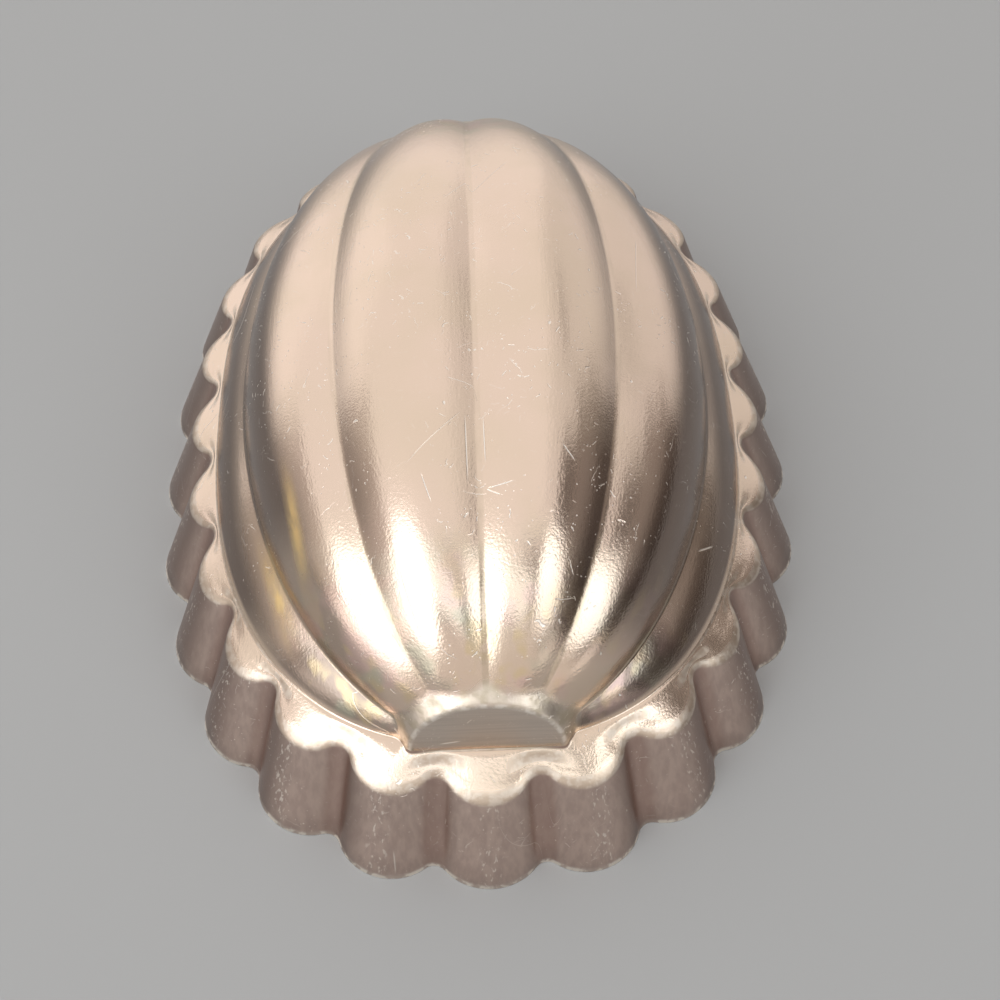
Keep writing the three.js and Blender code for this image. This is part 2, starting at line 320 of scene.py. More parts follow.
def flute_profile(pitch, inset):
    """One flute from notch to notch: distance along from its crest, and rise from the notches."""
    flank = 2 * math.atan(FLUTE_DEPTH / (pitch / 2))
    crest_radius = pitch / 2 / math.sin(flank) - FLUTE_NOTCH_RADIUS
    notch_arc, crest_arc = FLUTE_NOTCH_RADIUS + inset, crest_radius - inset
    notch = np.linspace(0, flank, NOTCH_STEPS + 1)
    crest = np.linspace(flank, 0, CREST_STEPS + 1)[1:]
    along = np.concatenate([notch_arc * np.sin(notch) - pitch / 2, -crest_arc * np.sin(crest)])
    notch_rise = FLUTE_NOTCH_RADIUS - notch_arc * np.cos(notch)
    crest_rise = FLUTE_DEPTH - crest_radius + crest_arc * np.cos(crest)
    rise = np.concatenate([notch_rise, crest_rise])
    return np.concatenate([along, -along[-2:0:-1]]), np.concatenate([rise, rise[-2:0:-1]])


def flute_crests():
    """How far each point of a fluted ring is from the notches, 1 on the crests."""
    rise = flute_profile(FLUTE_PITCH_GUIDE, 0.0)[1]
    return np.tile(rise, FLUTE_COUNT) / FLUTE_DEPTH


def fluted_ring(half_sizes, inset):
    """Fluted line round an oval through the notches, moved inwards by an inset."""
    oval = Oval(half_sizes, LEDGE_SQUARENESS)
    pitch = oval.length / FLUTE_COUNT
    along, rise = flute_profile(pitch, inset)
    distance = (np.arange(FLUTE_COUNT)[:, None] * pitch + along[None, :]).ravel()
    return oval.point(distance) + oval.outward(distance) * np.tile(rise, FLUTE_COUNT)[:, None]


def outward_of(loop, direction):
    """Outward normals of a closed line: direction 1 if it is anticlockwise, -1 if clockwise."""
    way = np.roll(loop, -1, axis=0) - np.roll(loop, 1, axis=0)
    way /= np.linalg.norm(way, axis=1, keepdims=True)
    return direction * np.stack([way[:, 1], -way[:, 0]], -1)


def pocket_radius(loop):
    """Radius of the hollow corners of a clockwise line, and of the points next to them."""
    before = loop - np.roll(loop, 1, axis=0)
    after = np.roll(loop, -1, axis=0) - loop
    side = before[:, 0] * after[:, 1] - before[:, 1] * after[:, 0]
    turn = np.arctan2(side, (before * after).sum(1))
    length = (np.linalg.norm(before, axis=1) + np.linalg.norm(after, axis=1)) / 2
    radius = np.where(turn > LEAST_TURN, length / np.maximum(turn, LEAST_TURN), np.inf)
    shifts = range(-POCKET_SPREAD, POCKET_SPREAD + 1)
    return np.min([np.roll(radius, shift) for shift in shifts], axis=0)


def nearest_index(points, others):
    gaps = points[:, None, :] - others[None, :, :]
    return (gaps**2).sum(-1).argmin(1)


def nearest_distance(points, others):
    return np.linalg.norm(points - others[nearest_index(points, others)], axis=1)


def inside_loop(points, loop):
    """Which points lie inside a closed line."""
    following = np.roll(loop, -1, axis=0)
    px, py = points[:, 0:1], points[:, 1:2]
    crosses = (loop[:, 1] > py) != (following[:, 1] > py)
    rise = following[:, 1] - loop[:, 1]
    rise = np.where(rise == 0, LEAST_RISE, rise)
    at = loop[:, 0] + (py - loop[:, 1]) * (following[:, 0] - loop[:, 0]) / rise
    return (np.sum(crosses & (px < at), axis=1) % 2) == 1


# Shell.


class Shell:
    """Points and faces of the outer side of the sheet, in millimetres.

    Of its masks, crest is 1 on the crests of the flutes and 0 in their notches, boss is 1 on the
    walls of the end bosses, face_edge on the rounded edges of their faces, low_lobe on the lowest
    lobe of each side, and groove in the grooves between the lobes.
    """

    MASKS = ("crest", "boss", "face_edge", "low_lobe", "groove")

    def __init__(self):
        self.points = []
        self.faces = []
        self.masks = {name: [] for name in self.MASKS}

    def add(self, points, **masks):
        """Takes in points, and returns their indices."""
        first = len(self.points)
        self.points.extend(np.asarray(points, float))
        for name, values in self.masks.items():
            values.extend(np.broadcast_to(masks.get(name, 0.0), len(points)))
        return np.arange(first, first + len(points))

    def band(self, a, b, closed):
        """Faces between two lines of points."""
        ends = len(a) if closed else len(a) - 1
        for i in range(ends):
            j = (i + 1) % len(a)
            self.faces.append((a[i], b[i], b[j], a[j]))


def on_ledge(points):
    """Points seen from above, put on the slope that runs down from an oval round the dome."""
    half_sizes = np.array([FOOT_HALF_WIDTH, half_length + SLOPE_OVAL_MARGIN])
    oval = Oval(half_sizes, SLOPE_OVAL_SQUARENESS)
    line = np.column_stack([oval.x, oval.y])[::SLOPE_OVAL_STEP]
    is_outside = (np.abs(points / half_sizes) ** SLOPE_OVAL_SQUARENESS).sum(1) > 1
    distance = np.where(is_outside, nearest_distance(points, line), 0)
    end_share = np.clip(points[:, 1] / half_sizes[1], -1, 1) ** 2
    slope = LEDGE_SIDE_SLOPE + (LEDGE_END_SLOPE - LEDGE_SIDE_SLOPE) * end_share
    return np.column_stack([points, ledge_height - slope * distance])


def carried_down(line, above):
    """Where the surface through two neighbouring lines, carried on down, meets the ledge."""
    share = line[:, 2:] / (above[:, 2:] - line[:, 2:])
    return line - (above - line) * share


def mirrored(half):
    """Values along a lengthwise line, from those of its front half."""
    return np.concatenate([half[:0:-1], half])


def add_dome(shell, columns, lines, lift):
    """Lobes and boss walls. Returns the points of each lengthwise line."""
    half_count = len(lines[0]) // 2 + 1
    boss_half = np.zeros(half_count)
    boss_half[STATIONS:] = np.minimum(np.arange(half_count - STATIONS) / ROOT_ROWS, 1)
    edge_half = np.zeros(half_count)
    edge_half[-EDGE_ROWS:] = np.sin(np.linspace(0, math.pi, EDGE_ROWS))
    masks = {"boss": mirrored(boss_half), "face_edge": mirrored(edge_half)}
    grid = []
    for (kind, lobe, _), line in zip(columns, lines):
        is_low = kind == "lobe" and lobe in (0, LAST_LINE - 1)
        masks |= {"low_lobe": float(is_low), "groove": float(kind == "groove")}
        grid.append(shell.add(line + lift, **masks))
    for right, left in zip(grid, grid[1:]):
        shell.band(right, left, False)
    return grid


def add_face(shell, arc, end):
    """Flat face at one end of the dome. Returns its foot, from the end of the arc to its start."""
    first, last = shell.points[arc[0]], shell.points[arc[-1]]
    shares = np.linspace(0, 1, FACE_FOOT_POINTS + 2)[1:-1, None]
    foot = shell.add(last + (first - last) * shares)
    ring = np.concatenate([arc, foot])
    corners = np.array([shell.points[i] for i in ring])
    middle = face_point(0, END_FACE_HEIGHT * FACE_MIDDLE_SHARE) * np.array([1, -end, 1])
    middle = middle + np.array([0, 0, ledge_height])
    for share in FACE_RINGS:
        inner = shell.add(middle + (corners - middle) * share)
        shell.band(inner, ring, True)
        ring = inner
    shell.faces.append(tuple(ring))
    return foot


def add_fillet(shell, lines, grid, edge, lift):
    """End faces, and the fillet round the dome's foot, clockwise from the rear of the right side.

    Returns the corner under it, and the line and the points where the ledge starts.
    """
    front_foot = add_face(shell, [line[-1] for line in grid], -1)
    rear_foot = add_face(shell, [line[0] for line in reversed(grid)], 1)
    upper = np.concatenate([grid[0], front_foot[::-1], grid[-1][::-1], rear_foot[::-1]])
    top = np.array([shell.points[i] for i in upper]) - lift
    corner = top.copy()
    corner[:, 1] = half_length * np.sign(top[:, 1])
    corner[:, 2] = 0
    count = len(grid[0])
    left_side = slice(count + FACE_FOOT_POINTS, 2 * count + FACE_FOOT_POINTS)
    corner[:count] = carried_down(lines[0], lines[1])
    corner[left_side] = carried_down(lines[-1], lines[-2])[::-1]
    corner_plan = corner[:, :2]
    foot_room = nearest_distance(corner_plan, edge)
    largest = np.minimum(FOOT_ROOM_SHARE * foot_room, POCKET_SHARE * pocket_radius(corner_plan))
    reach = np.clip(np.linalg.norm(top - corner, axis=1), SMALLEST_FILLET, largest)
    foot_way = outward_of(corner_plan, -1)
    foot_end = on_ledge(corner_plan + foot_way * reach[:, None]) - lift
    on_side = np.zeros(len(top))
    on_side[:count] = 1
    on_side[left_side] = 1
    for i in range(1, FILLET_ROWS + 1):
        row = bend(top, corner, foot_end, i / FILLET_ROWS) + lift
        lower = shell.add(row, low_lobe=on_side, boss=1 - on_side)
        shell.band(lower, upper, True)
        upper = lower
    flat = LEDGE_FLAT_SHARE / FOOT_ROOM_SHARE * largest
    foot_flat = foot_end[:, :2] + foot_way * flat[:, None]
    foot_loop = shell.add(on_ledge(foot_flat))
    shell.band(foot_loop, upper, True)
    return corner_plan, foot_flat, foot_loop


def add_ledge(shell, edge, crests, corner_plan, foot_flat, foot_loop):
    """Slope from the dome's foot to the start of the rounded edge, which dips at the notches.

    Returns the points there, the line where the rounding starts, and its dips.
    """
    edge_room = nearest_distance(edge, corner_plan)
    edge_way = outward_of(edge, 1)
    edge_reach = np.minimum(LEDGE_ROLL_REACH, ROLL_ROOM_SHARE * edge_room)
    edge_start = edge - edge_way * edge_reach[:, None]
    edge_flat = edge_start - edge_way * (LEDGE_FLAT_SHARE * edge_room)[:, None]
    dip = np.zeros((len(edge), 3))
    dip[:, 2] = (1 - crests) * np.minimum(NOTCH_DIP, NOTCH_DIP_SHARE * edge_room)
    edge_loop = shell.add(on_ledge(edge_flat) - dip)
    way_in = foot_flat[nearest_index(edge_flat, foot_flat)] - edge_flat
    between = [edge_flat + way_in * share for share in LEDGE_SHARES]
    between_loops = [
        shell.add(on_ledge(row) - dip * (1 - share) ** 2 * (1 + 2 * share))
        for row, share in zip(between, LEDGE_SHARES)
    ]
    plan = np.concatenate([foot_flat, edge_flat, *between])
    indices = np.concatenate([foot_loop, edge_loop, *between_loops])
    foot_count, edge_count = len(foot_flat), len(edge_flat)
    rims = [(i, (i + 1) % foot_count) for i in range(foot_count)]
    rims += [(foot_count + i, foot_count + (i + 1) % edge_count) for i in range(edge_count)]
    found = delaunay_2d_cdt([Vector(p) for p in plan], rims, [], 0, JOIN_DISTANCE)
    found_points, triangles, origins = found[0], found[2], found[3]
    centres = np.array(
        [sum((found_points[i] for i in triangle), Vector((0, 0))) / 3 for triangle in triangles]
    )
    kept = inside_loop(centres, edge_flat) & ~inside_loop(centres, foot_flat)
    for triangle, keep in zip(triangles, kept):
        if keep:
            shell.faces.append(tuple(indices[origins[i][0]] for i in triangle))
    return edge_loop, edge_start, dip


def add_skirt(shell, edge, crests, edge_loop, edge_start, dip):
    """Rounded edge of the ledge, and the skirt below it, down to the rim.

    Returns the skirt's rows, with their shares of the way down and heights, and the last one.
    """
    corner_line = on_ledge(edge) - dip
    drop = np.column_stack([fluted_ring(rim_half_sizes, 0.0) - edge, -corner_line[:, 2]])
    drop_length = np.linalg.norm(drop, axis=1)[:, None]
    bend_start = on_ledge(edge_start) - dip
    bend_end = corner_line + drop * SKIRT_ROLL_REACH / drop_length
    upper = shell.add(bend_start, crest=crests)
    shell.band(edge_loop, upper, True)
    for i in range(1, ROLL_ROWS + 1):
        row = bend(bend_start, corner_line, bend_end, i / ROLL_ROWS)
        lower = shell.add(row, crest=crests)
        shell.band(upper, lower, True)
        upper = lower
    lip_top = corner_line + drop * (1 - LIP_ROUNDING / ledge_height)
    skirt_rows = []
    for i in range(1, SKIRT_ROWS + 1):
        row = bend_end + (lip_top - bend_end) * i / SKIRT_ROWS
        lower = shell.add(row, crest=crests)
        skirt_rows.append((lower, 1 - row[:, 2] / corner_line[:, 2], row[:, 2]))
        shell.band(upper, lower, True)
        upper = lower
    return skirt_rows, upper


def build_shell():
    shell = Shell()
    lift = np.array([0, 0, ledge_height])
    columns = dome_columns()
    lines = [dome_line(column) for column in columns]
    grid = add_dome(shell, columns, lines, lift)
    edge = fluted_ring(ledge_half_sizes, 0.0)
    crests = flute_crests()
    foot = add_fillet(shell, lines, grid, edge, lift)
    ledge_edge = add_ledge(shell, edge, crests, *foot)
    skirt_rows, rim = add_skirt(shell, edge, crests, *ledge_edge)
    return shell, skirt_rows, rim


def inner_points(shell, skirt_rows):
    """The outer points, moved through the sheet to its inner side."""
    probe = bpy.data.meshes.new("outer_side")
    points = [tuple(p) for p in shell.points]
    probe.from_pydata(points, [], [tuple(int(i) for i in f) for f in shell.faces])
    normals = np.empty(len(points) * 3, np.float32)
    probe.vertex_normals.foreach_get("vector", normals)
    bpy.data.meshes.remove(probe)
    inner = np.array(shell.points) - SHEET_THICKNESS * normals.reshape(-1, 3)
    rim_inner = fluted_ring(rim_half_sizes, SHEET_THICKNESS)
    edge_inner = fluted_ring(ledge_half_sizes, SHEET_THICKNESS)
    for indices, share, height in skirt_rows:
        row = edge_inner + (rim_inner - edge_inner) * share[:, None]
        inner[indices] = np.column_stack([row, height])
    return inner


def lip_rows(rim_outer, rim_inner):
    """Rows of points round the cut rim, from its outer to its inner side, with rounded corners."""
    out_low, in_low = rim_outer.copy(), rim_inner.copy()
    out_low[:, 2] = 0
    in_low[:, 2] = 0
    across = in_low - out_low
    share = LIP_ROUNDING / SHEET_THICKNESS
    flat_start, flat_end = out_low + across * share, in_low - across * share
    rows = [bend(rim_outer, out_low, flat_start, i / LIP_ROWS) for i in range(1, LIP_ROWS + 1)]
    rows += [bend(flat_end, in_low, rim_inner, i / LIP_ROWS) for i in range(LIP_ROWS)]
    return rows


def mould_mesh():
    """The whole sheet: its outer side, its inner side and the cut rim between them."""
    shell, skirt_rows, rim = build_shell()
    inner = inner_points(shell, skirt_rows)
    outer = np.array(shell.points)
    outer_count = len(outer)
    faces = [tuple(int(i) for i in f) for f in shell.faces]
    outside_faces = len(faces)
    faces += [tuple(i + outer_count for i in reversed(f)) for f in faces]
    points = list(outer) + list(inner)
    lines = [rim]
    for row in lip_rows(outer[rim], inner[rim]):
        lines.append(np.arange(len(points), len(points) + len(row)))
        points.extend(row)
    lines.append(rim + outer_count)
    for upper, lower in zip(lines, lines[1:]):
        for i in range(len(rim)):
            j = (i + 1) % len(rim)
            faces.append((int(upper[i]), int(lower[i]), int(lower[j]), int(upper[j])))
    mesh = bpy.data.meshes.new("mould_shell")
    mesh.from_pydata([tuple(p * MILLIMETRE) for p in points], [], faces)
    mesh.validate()
    slots = [0] * outside_faces + [1] * (len(faces) - outside_faces)
    mesh.polygons.foreach_set("use_smooth", [True] * len(mesh.polygons))
    mesh.polygons.foreach_set("material_index", slots)
    for name, values in shell.masks.items():
        spread = np.zeros(len(points), np.float32)
        spread[:outer_count] = values
        mesh.attributes.new(name, "FLOAT", "POINT").data.foreach_set("value", spread)
    mesh.update()
    return mesh


# Materials, in metres.

DOME_TONES = ((0.85, 0.665, 0.54), (0.81, 0.645, 0.505))
# Dark tone of the painted shade on the steep flanks.
FLANK_SHADE_TONE = (0.22, 0.17, 0.147)
# Bright tone of the painted yellow reflections on the left flanks.
STREAK_REFLECTION_TONE = (0.98, 0.71, 0.34)
# Tones of painted shade on the boss walls, and in patches there and in the grooves.
BOSS_SHADE_TONE = (0.69, 0.6, 0.505)
CREASE_SHADE_TONE = (0.47, 0.395, 0.275)
ROLL_TONE = (0.6, 0.49, 0.385)
# Tones of painted shade on the skirt, to its sides and in its notches, and on the end faces.
SKIRT_SHADE_TONES = ((0.54, 0.41, 0.355), (0.63, 0.49, 0.42))
SKIRT_SIDE_SHADE_TONE = (0.33, 0.245, 0.21)
SKIRT_NOTCH_SHADE_TONE = (0.4, 0.255, 0.21)
FACE_SHADE_TONES = ((0.64, 0.55, 0.475), (0.69, 0.595, 0.515))
WORN_TONE = (0.95, 0.87, 0.78)
INSIDE_TONES = ((0.89, 0.885, 0.875), (0.84, 0.835, 0.83))
INSIDE_STAIN_TONE = (0.7, 0.68, 0.65)
INSIDE_WORN_TONE = (0.95, 0.95, 0.95)

# How strongly a tone or a kind of mark covers what is under it.
FLANK_SHADE_STRENGTH = 0.9
LEFT_LOW_LOBE_STRENGTH = 0.5
LEFT_LOW_END_STRENGTH = 0.78
LEFT_CREASE_STRENGTH = 0.5
STREAK_LEAST = 0.5
RIGHT_TINT_STRENGTH = 0.35
BOSS_SHADE_STRENGTH = 0.8
BOSS_SHADE_PATCH_STRENGTH = 0.6
GROOVE_SHADE_STRENGTH = 0.5
GROOVE_SHADE_MIDDLE = 0.25
GROOVE_SHADE_LEAST = 0.3
NOTCH_SHADE_STRENGTH = 0.5
ROLL_STRENGTH = 0.65
ROLL_RUB_STRENGTH = 0.35
CREST_RUB_STRENGTH = 0.6
RIM_WEAR_LEAST = 0.3
FACE_EDGE_WEAR_LEAST = 0.35
FACE_EDGE_STRENGTH = 0.7
FINE_SCRATCH_STRENGTH = 0.7
LONG_SCRATCH_STRENGTH = 0.6
MARKS_LEAST = 0.15
SKIRT_MARK_STRENGTH = 0.6
INSIDE_STAIN_STRENGTH = 0.35
INSIDE_MARK_STRENGTH = 0.8

# Roughness of the dome, the satin zones and the inside, and what is added to it.
DOME_ROUGHNESS = 0.22
SATIN_ROUGHNESS = 0.37
INSIDE_ROUGHNESS = 0.3
SMUDGE_ROUGHNESS = (-0.02, 0.05)
STREAK_ROUGHNESS = 0.12
BOSS_ROUGHNESS = 0.1
BOSS_PATCH_ROUGHNESS = 0.2
ROLL_ROUGHNESS = 0.12
WORN_ROUGHNESS = 0.12
INSIDE_WORN_ROUGHNESS = 0.1

# Patches of noise: size, in x, y and z where it differs, detail, and the noise where a patch begins
# and where it is full.
RUBBED_PATCHES = (0.013, 2.0, 0.42, 0.6)
MARK_PATCHES = (0.0026, 1.0, 0.35, 0.65)
COLOUR_PATCHES = (0.018, 3.0, 0.35, 0.65)
SMUDGE_PATCHES = (0.009, 4.0, 0.4, 0.7)
STREAK_PATCHES = ((0.0012, 0.007, 0.0012), 2.0, 0.3, 0.6)
# Patches of painted shade on the bosses and in the grooves.
BOSS_SHADE_PATCHES = ((0.0022, 0.0022, 0.0014), 3.0, 0.4, 0.62)
GROOVE_SHADE_PATCHES = ((0.0015, 0.004, 0.0015), 2.0, 0.35, 0.65)
SKIRT_GRAIN = ((0.0009, 0.0009, 0.012), 2.0, 0.3, 0.7)
FACE_BRUSHING = ((0.012, 0.012, 0.0003), 2.0, 0.35, 0.65)
WORN_EDGE_PATCHES = (0.0011, 3.0, 0.42, 0.6)
CREST_RUB_PATCHES = ((0.0004, 0.0004, 0.003), 2.0, 0.58, 0.68)
INSIDE_STAIN_PATCHES = ((0.016, 0.02, 0.01), 4.0, 0.52, 0.7)

# Tints at the ends of the dome: patches, strength and tone.
END_TINTS = (
    (((0.005, 0.008, 0.005), 2.0, 0.5, 0.64), 0.55, (0.86, 0.6, 0.55)),
    (((0.0041, 0.008, 0.0042), 2.0, 0.54, 0.66), 0.55, (0.8, 0.63, 0.36)),
    (((0.0061, 0.0055, 0.0057), 2.0, 0.5, 0.66), 0.6, (0.6, 0.6, 0.46)),
)

# Relief: size and detail of its noise, and its depth.
WAVES = (0.009, 1.0)
WAVE_DEPTH = 0.00004
POLISH_LINES = ((0.0004, 0.006, 0.0004), 1.0)
POLISH_GRAIN = (0.0003, 1.0)
POLISH_DEPTH = 0.000016
MARK_DEPTH = 0.00003

# Where a zone of the outside begins and where it is full: by height, by distance from the middle
# towards an end, by how far the sheet faces up, right or to an end, and by the crest mask.
BELOW_FOOT = (0.0002, -0.0001)
ABOVE_FOOT = (0.0003, 0.001)
RIM = (0.0009, 0.0003)
LOW_END_START = (0.036, 0.041)
LOW_END_STOP = (0.0495, 0.047)
TINTED_ENDS = (0.03, 0.046)
GROOVE_SHADE_ENDS = (0.02, 0.045)
SKIRT_UP = (0.75, 0.5)
FACE_END = (0.9, 0.96)
RIGHT_SIDE = (-0.2, 0.3)
TINT_RIGHT = (0.1, 0.5)
STEEP_UP = (0.84, 0.58)
RIGHT_STEEP_SHIFT = 0.02
FLANK_END = (0.55, 0.3)
RIGHT_END_SHIFT = 0.22
LEFT_CREASE = (-0.5, -0.62)
SKIRT_SIDES = (0.85, 0.35)
ROLL_START = (0.88, 0.8)
ROLL_STOP = (0.45, 0.6)
NOTCHES = (0.45, 0.05)
CRESTS = (0.93, 0.995)

# Scattered marks: cell of their loose grid, size, share of the cells that have one, and seed. The
# core is the share of a mark that it fills evenly.
SPECKS = {"cell": 0.001, "radius": 0.00012, "share": 0.33, "seed": 5.9}
PITS = {"cell": 0.009, "radius": 0.00025, "share": 0.2, "seed": 2.3}
SHORT_MARKS = {"cell": 0.0018, "length": 0.001, "width": 0.0001, "share": 0.25, "seed": 7.7}
FINE_SCRATCHES = {"cell": 0.0044, "length": 0.003, "width": 0.00008, "share": 0.25, "seed": 3.1}
LONG_SCRATCHES = {"cell": 0.021, "length": 0.013, "width": 0.00008, "share": 0.22, "seed": 11.3}
NICK_CORE = 0.4
SCRATCH_CORE = 0.3
SWIRL_SIZE = 0.0013
SWIRL_PULL = 0.0011

# Single marks: two ends and width in millimetres. They are straight in a view from the front.
SINGLE_SCRATCHES = (
    ((-1.5, -19.2, 40.5), (-1.4, -28.6, 38.1), 0.11),
    ((0.7, -19.5, 40.2), (0.8, -26.0, 38.7), 0.1),
    ((0.7, -28.9, 37.8), (4.3, -28.4, 38.8), 0.1),
    ((0.7, -28.9, 37.8), (2.5, -29.9, 37.9), 0.1),
    ((9.9, -23.6, 39.7), (11.6, -25.7, 38.3), 0.09),
    ((-7.0, -27.0, 39.3), (-5.7, -30.9, 37.9), 0.09),
    ((27.4, -27.9, 21.3), (30.1, -26.0, 19.6), 0.12),
    ((-5.9, -51.8, 17.3), (-3.0, -51.7, 17.8), 0.12),
    ((-12.0, -59.7, 4.8), (-11.9, -61.5, 0.6), 0.12),
)
# Painted yellow reflections on the left flanks, drawn as broad streaks.
YELLOW_REFLECTIONS = (
    ((-24.3, -18.0, 33.2), (-20.9, -38.0, 25.8), 1.3),
    ((-28.4, -22.0, 22.4), (-23.0, -41.0, 18.4), 1.9),
)
SINGLE_CORE = 0.4
SCRATCH_VIEW = (0.0, -0.55, 0.835)
SCRATCH_DEPTH = (0.009, 0.008)


class Nodes:
    """Builds the nodes of one material. Lengths are in metres, in the frame of the part."""

    def __init__(self, name):
        self.material = bpy.data.materials.new(name)
        self.material.use_nodes = True
        self.tree = self.material.node_tree
        self.shader = self.tree.nodes["Principled BSDF"]
        coordinates = self.node("ShaderNodeTexCoord").outputs
        self.where, self.normal = coordinates["Object"], coordinates["Normal"]
        _, self.y, self.z = self.node("ShaderNodeSeparateXYZ", {0: self.where}).outputs
        swirl_inputs = {"Vector": self.where, "Scale": 1 / SWIRL_SIZE}
        swirl = self.node("ShaderNodeTexNoise", swirl_inputs).outputs["Color"]
        offset = self.vector("SUBTRACT", swirl, (0.5,) * 3)
        pull = self.vector("MULTIPLY", offset, (SWIRL_PULL,) * 3)
        self.warped = self.vector("ADD", self.where, pull)
        normal_parts = self.node("ShaderNodeSeparateXYZ", {0: self.normal}).outputs
        self.facing_right, self.facing_up = normal_parts["X"], normal_parts["Z"]
        self.facing_end = self.math("ABSOLUTE", normal_parts["Y"])

    def node(self, kind, inputs=None, **settings):
        made = self.tree.nodes.new(kind)
        for key, value in settings.items():
            setattr(made, key, value)
        for key, value in (inputs or {}).items():
            self.feed(made.inputs[key], value)
        return made

    def feed(self, socket, value):
        if isinstance(value, bpy.types.NodeSocket):
            self.tree.links.new(value, socket)
        else:
            socket.default_value = value

    def carried(self, name):
        """Value that the mesh carries at its points."""
        return self.node("ShaderNodeAttribute", attribute_name=name).outputs["Fac"]

    def math(self, operation, first, second=0.0):
        return self.node("ShaderNodeMath", {0: first, 1: second}, operation=operation).outputs[0]

    def product(self, *factors):
        result = factors[0]
        for factor in factors[1:]:
            result = self.math("MULTIPLY", result, factor)
        return result

    def largest(self, *values):
        result = values[0]
        for value in values[1:]:
            result = self.math("MAXIMUM", result, value)
        return result

    def vector(self, operation, first, second=(0, 0, 0)):
        made = self.node("ShaderNodeVectorMath", {0: first, 1: second}, operation=operation)
        return made.outputs["Value" if operation in ("DOT_PRODUCT", "LENGTH") else "Vector"]

    def ramp(self, value, low, high, start=0.0, end=1.0):
        """Smooth change from start to end as a value goes from low to high."""
        inputs = {"Value": value, "From Min": low, "From Max": high, "To Min": start, "To Max": end}
        made = self.node("ShaderNodeMapRange", inputs, interpolation_type="SMOOTHSTEP")
        return made.outputs["Result"]

    def mix(self, factor, first, second):
        made = self.node("ShaderNodeMix", data_type="RGBA")
        for index, value in ((0, factor), (6, first), (7, second)):
            self.feed(made.inputs[index], (*value, 1) if isinstance(value, tuple) else value)
        return made.outputs[2]

    def noise(self, size, detail):
        """Noise with patches of about a size, in x, y and z where it differs."""
        scaled = self.vector("DIVIDE", self.where, size if isinstance(size, tuple) else (size,) * 3)
        inputs = {"Vector": scaled, "Scale": 1.0, "Detail": detail}
        return self.node("ShaderNodeTexNoise", inputs).outputs["Fac"]

    def patches(self, size, detail, low, high, start=0.0, end=1.0):
        return self.ramp(self.noise(size, detail), low, high, start, end)

    def marks(self, cell, share, seed, where):
        """One mark in some cells of a loose grid: way from its middle, direction, and presence."""
        scaled = self.vector("ADD", self.vector("DIVIDE", where, (cell,) * 3), (seed,) * 3)
        cells = self.node("ShaderNodeTexVoronoi", {"Vector": scaled, "Scale": 1.0}).outputs
        offset = self.vector("SUBTRACT", scaled, cells["Position"])
        height = self.vector("DOT_PRODUCT", offset, self.normal)
        along = self.vector("SUBTRACT", offset, self.vector("MULTIPLY", self.normal, height))
        draw = self.node("ShaderNodeTexWhiteNoise", {"Vector": cells["Position"]})
        direction = self.vector("SUBTRACT", cells["Color"], (0.5,) * 3)
        return along, direction, self.math("LESS_THAN", draw.outputs["Value"], share)

    def scratches(self, cell, length, width, share, seed, straight=False):
        where = self.where if straight else self.warped
        along, direction, chosen = self.marks(cell, share, seed, where)
        across = self.vector("NORMALIZE", self.vector("CROSS_PRODUCT", self.normal, direction))
        gap = self.math("ABSOLUTE", self.vector("DOT_PRODUCT", along, across))
        line = self.ramp(gap, width / cell, SCRATCH_CORE * width / cell)
        from_middle = self.vector("LENGTH", along)
        reach = self.ramp(from_middle, 0.5 * length / cell, SCRATCH_CORE * length / cell)
        return self.product(line, reach, chosen)

    def nicks(self, cell, radius, share, seed):
        along, _, chosen = self.marks(cell, share, seed, self.warped)
        from_middle = self.vector("LENGTH", along)
        dot = self.ramp(from_middle, radius / cell, NICK_CORE * radius / cell)
        return self.product(dot, chosen)

    def scratch(self, start, end, width, core=SINGLE_CORE):
        """One scratch between two points of the outside, in millimetres."""
        first = Vector(start) * MILLIMETRE
        way = Vector(end) * MILLIMETRE - first
        side = way.cross(Vector(SCRATCH_VIEW)).normalized()
        offset = self.vector("SUBTRACT", self.where, tuple(first))
        gap = self.math("ABSOLUTE", self.vector("DOT_PRODUCT", offset, tuple(side)))
        share = self.vector("DOT_PRODUCT", offset, tuple(way / way.length_squared))
        from_middle = self.math("ABSOLUTE", self.math("SUBTRACT", share, 0.5))
        depth = self.math("ABSOLUTE", self.vector("DOT_PRODUCT", offset, SCRATCH_VIEW))
        line = self.ramp(gap, width * MILLIMETRE, core * width * MILLIMETRE)
        reach = self.ramp(from_middle, 0.5, 0.5 * core)
        return self.product(line, reach, self.ramp(depth, *SCRATCH_DEPTH))

    def bump(self, height, depth, below=None):
        inputs = {"Height": height, "Distance": depth}
        if below is not None:
            inputs["Normal"] = below
        return self.node("ShaderNodeBump", inputs).outputs["Normal"]


def wear(nodes):
    """Specks, short marks and scratches all over, more of them where the sheet was rubbed."""
    rubbed_patches = nodes.patches(*RUBBED_PATCHES, MARKS_LEAST, 1.0)
    rubbed = nodes.largest(rubbed_patches, nodes.carried("boss"))
    depth = nodes.patches(*MARK_PATCHES, MARKS_LEAST, 1.0)
    specks = nodes.product(nodes.nicks(**SPECKS), rubbed)
    short = nodes.product(nodes.scratches(**SHORT_MARKS), rubbed)
    fine = nodes.product(nodes.scratches(**FINE_SCRATCHES), rubbed, FINE_SCRATCH_STRENGTH)
    long = nodes.product(nodes.scratches(**LONG_SCRATCHES, straight=True), LONG_SCRATCH_STRENGTH)
    pits = nodes.nicks(**PITS)
    single = [nodes.scratch(*ends) for ends in SINGLE_SCRATCHES]
    small = nodes.product(nodes.largest(specks, short, fine), depth)
    return nodes.largest(small, long, pits, *single)


